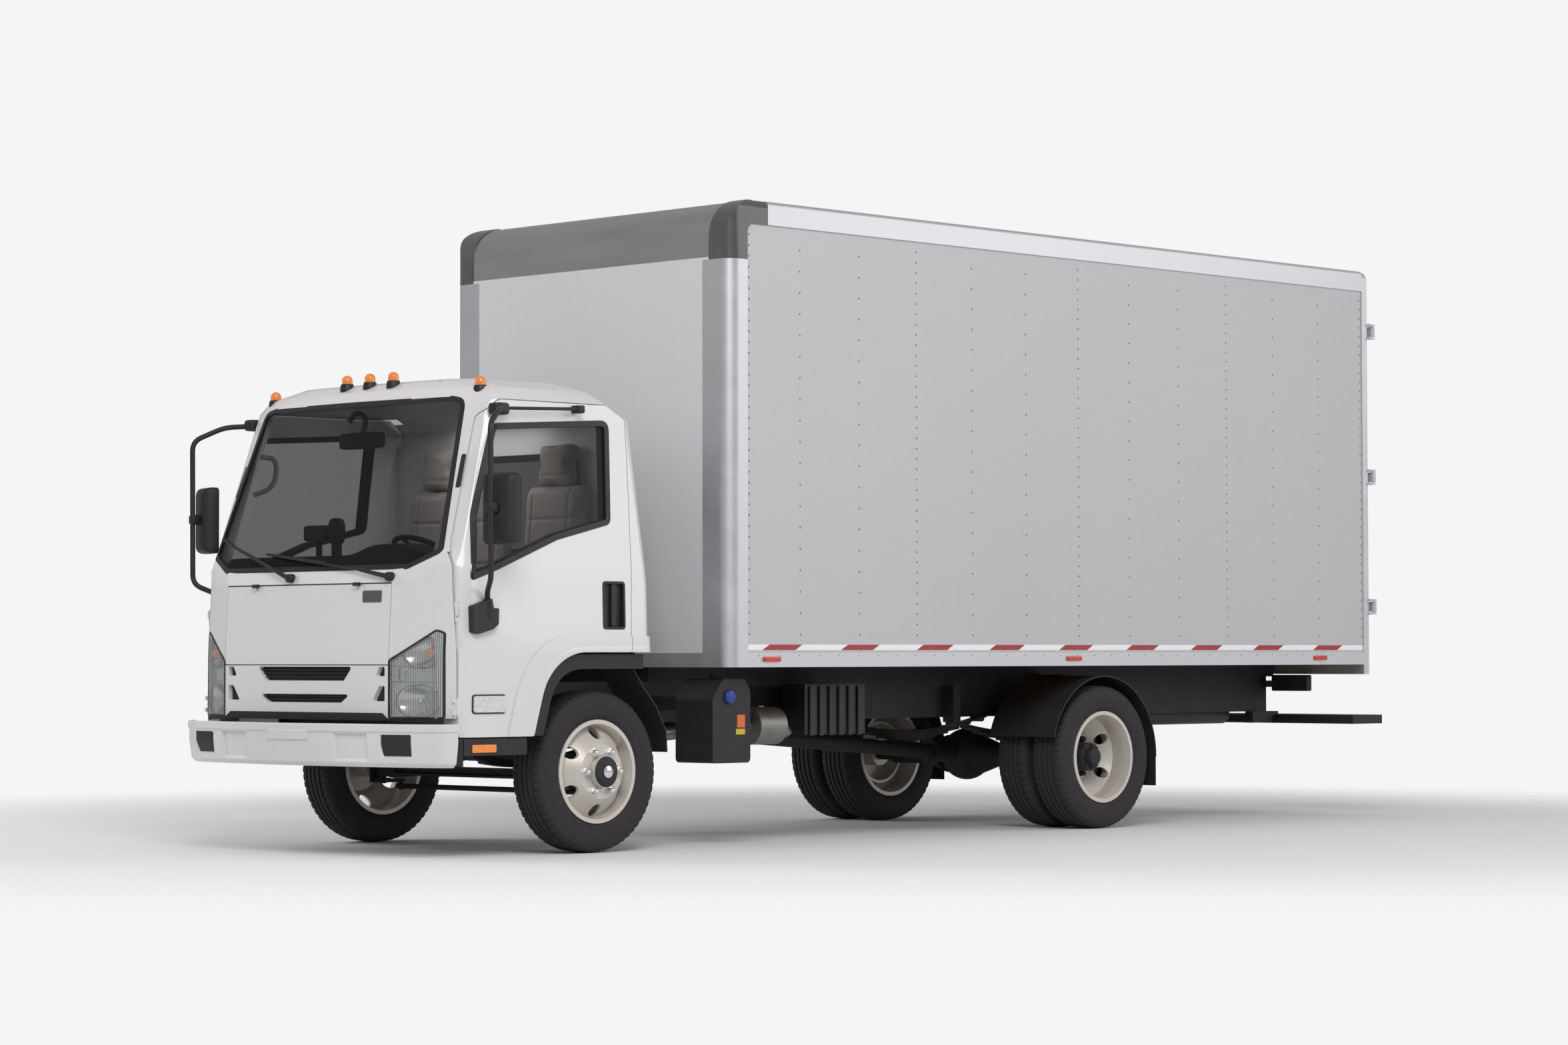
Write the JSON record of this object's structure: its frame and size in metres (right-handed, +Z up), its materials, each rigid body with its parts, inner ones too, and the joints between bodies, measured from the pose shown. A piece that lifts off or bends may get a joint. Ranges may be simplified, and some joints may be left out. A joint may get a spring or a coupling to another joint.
{
  "type": "box truck",
  "caption": "Low-cab-forward box truck with a tilting cab, swing doors, steered front wheels and twin rear wheels.",
  "frame": {"origin": "on the ground under the middle of the whole vehicle's bounding box", "axes": "+X to the vehicle's left, +Y rearwards, +Z up; the cab faces -Y"},
  "size_m": [2.5168, 7.757, 3.3559],
  "materials": {
    "chassis_black": "satin",
    "cast_dark": "rough",
    "exhaust_metal": "satin",
    "engine_grey": "rough",
    "dark_plastic": "matte",
    "bumper_white": "gloss",
    "cab_white": "gloss",
    "box_white": "gloss",
    "rail_metal": "satin",
    "cap_grey": "satin",
    "floor_wood": "satin",
    "lamp_red": "gloss",
    "lamp_amber": "gloss",
    "window_glass": "clear",
    "lens_clear": "clear",
    "lamp_bowl": "polished",
    "seat_cloth": "woven",
    "wheel_paint": "satin",
    "tyre_black": "matte",
    "tank_black": "satin"
  },
  "bodies": {
    "chassis": {"frame": "chassis_black", "leaf_springs": "chassis_black", "front_axle": "cast_dark", "rear_axle": "cast_dark", "engine": "engine_grey", "driveshaft": "cast_dark", "exhaust": "exhaust_metal", "side_tank": "dark_plastic", "battery_boxes": "dark_plastic", "fuel_tank": "tank_black", "mudguards": "dark_plastic", "front_bumper": "bumper_white", "bumper_inserts": "dark_plastic", "rear_bumper": "chassis_black", "box_floor": "floor_wood", "box_side_walls": "box_white", "box_front_wall": "box_white", "box_roof": "box_white", "box_rails": "rail_metal", "box_nose_panel": "rail_metal", "box_corner_caps": "cap_grey", "box_rear_frame": "rail_metal", "body_lamps": "lamp_red"},
    "cab": {"cab_shell": "cab_white", "cab_glass": "window_glass", "grille": "dark_plastic", "headlamp_housings": "lamp_bowl", "headlamp_lenses": "lens_clear", "roof_lamps": "lamp_amber", "dashboard": "dark_plastic", "seats": "seat_cloth", "cab_trim": "dark_plastic"},
    "lid": {"front_lid": "cab_white"},
    "steering_wheel": {"steering_wheel": "dark_plastic"},
    "cab_door_left": {"door_left": "cab_white", "door_left_glass": "window_glass", "door_left_mirror": "dark_plastic", "door_left_lamp": "lamp_amber"},
    "cab_door_right": {"door_right": "cab_white", "door_right_glass": "window_glass", "door_right_mirror": "dark_plastic", "door_right_lamp": "lamp_amber"},
    "cargo_left": {"cargo_door_left": "box_white"},
    "cargo_right": {"cargo_door_right": "box_white"},
    "knuckle_l": {"knuckle_left": "cast_dark"},
    "knuckle_r": {"knuckle_right": "cast_dark"},
    "track_rod": {"tie_rod": "cast_dark"},
    "wheel_fl": {"tyre_front_left": "tyre_black", "wheel_front_left": "wheel_paint"},
    "wheel_fr": {"tyre_front_right": "tyre_black", "wheel_front_right": "wheel_paint"},
    "wheels_rl": {"tyres_rear_left": "tyre_black", "wheels_rear_left": "wheel_paint"},
    "wheels_rr": {"tyres_rear_right": "tyre_black", "wheels_rear_right": "wheel_paint"}
  },
  "joints": [
    {"name": "cab_tilt", "type": "hinge", "parent": "chassis", "child": "cab", "pos_m": [0, -3.6745, 0.74], "axis": [1, 0, 0], "range_deg": [0, 45]},
    {"name": "cab_door_left_swing", "type": "hinge", "parent": "cab", "child": "cab_door_left", "pos_m": [0.982, -3.5925, 1.2], "axis": [0, 0, -1], "range_deg": [0, 70]},
    {"name": "cab_door_right_swing", "type": "hinge", "parent": "cab", "child": "cab_door_right", "pos_m": [-0.982, -3.5925, 1.2], "axis": [0, 0, 1], "range_deg": [0, 70]},
    {"name": "front_lid_lift", "type": "hinge", "parent": "cab", "child": "lid", "pos_m": [0, -3.7425, 1.339], "axis": [-1, 0, 0], "range_deg": [0, 60]},
    {"name": "steering_wheel_turn", "type": "hinge", "parent": "cab", "child": "steering_wheel", "pos_m": [0.4, -3.2745, 1.48], "axis": [0, 0.5, 0.866], "range_deg": [-541, 541]},
    {"name": "steer_left", "type": "hinge", "parent": "chassis", "child": "knuckle_l", "pos_m": [0.74, -2.6245, 0.406], "axis": [0, 0, 1], "range_deg": [-36, 36]},
    {"name": "steer_right", "type": "hinge", "parent": "chassis", "child": "knuckle_r", "pos_m": [-0.74, -2.6245, 0.406], "axis": [0, 0, 1], "range_deg": [-36.05, 36.05]},
    {"name": "track_rod_pivot", "type": "hinge", "parent": "knuckle_l", "child": "track_rod", "pos_m": [0.74, -2.5045, 0.294], "axis": [0, 0, 1], "range_deg": [-36.05, 36.05]},
    {"name": "front_left_roll", "type": "hinge", "parent": "knuckle_l", "child": "wheel_fl", "pos_m": [0.8325, -2.6245, 0.406], "axis": [1, 0, 0], "continuous": true},
    {"name": "front_right_roll", "type": "hinge", "parent": "knuckle_r", "child": "wheel_fr", "pos_m": [-0.8325, -2.6245, 0.406], "axis": [1, 0, 0], "continuous": true},
    {"name": "rear_left_roll", "type": "hinge", "parent": "chassis", "child": "wheels_rl", "pos_m": [0.825, 1.1855, 0.406], "axis": [1, 0, 0], "continuous": true},
    {"name": "rear_right_roll", "type": "hinge", "parent": "chassis", "child": "wheels_rr", "pos_m": [-0.825, 1.1855, 0.406], "axis": [1, 0, 0], "continuous": true},
    {"name": "cargo_door_left_swing", "type": "hinge", "parent": "chassis", "child": "cargo_left", "pos_m": [1.092, 3.7455, 2.1], "axis": [0, 0, -1], "range_deg": [0, 265]},
    {"name": "cargo_door_right_swing", "type": "hinge", "parent": "chassis", "child": "cargo_right", "pos_m": [-1.092, 3.7455, 2.1], "axis": [0, 0, 1], "range_deg": [0, 265]}
  ],
  "couplings": [
    {"joint": "steer_right", "follows": "steer_left", "ratio": 1},
    {"joint": "track_rod_pivot", "follows": "steer_left", "ratio": -1},
    {"joint": "steering_wheel_turn", "follows": "steer_left", "ratio": 15}
  ]
}
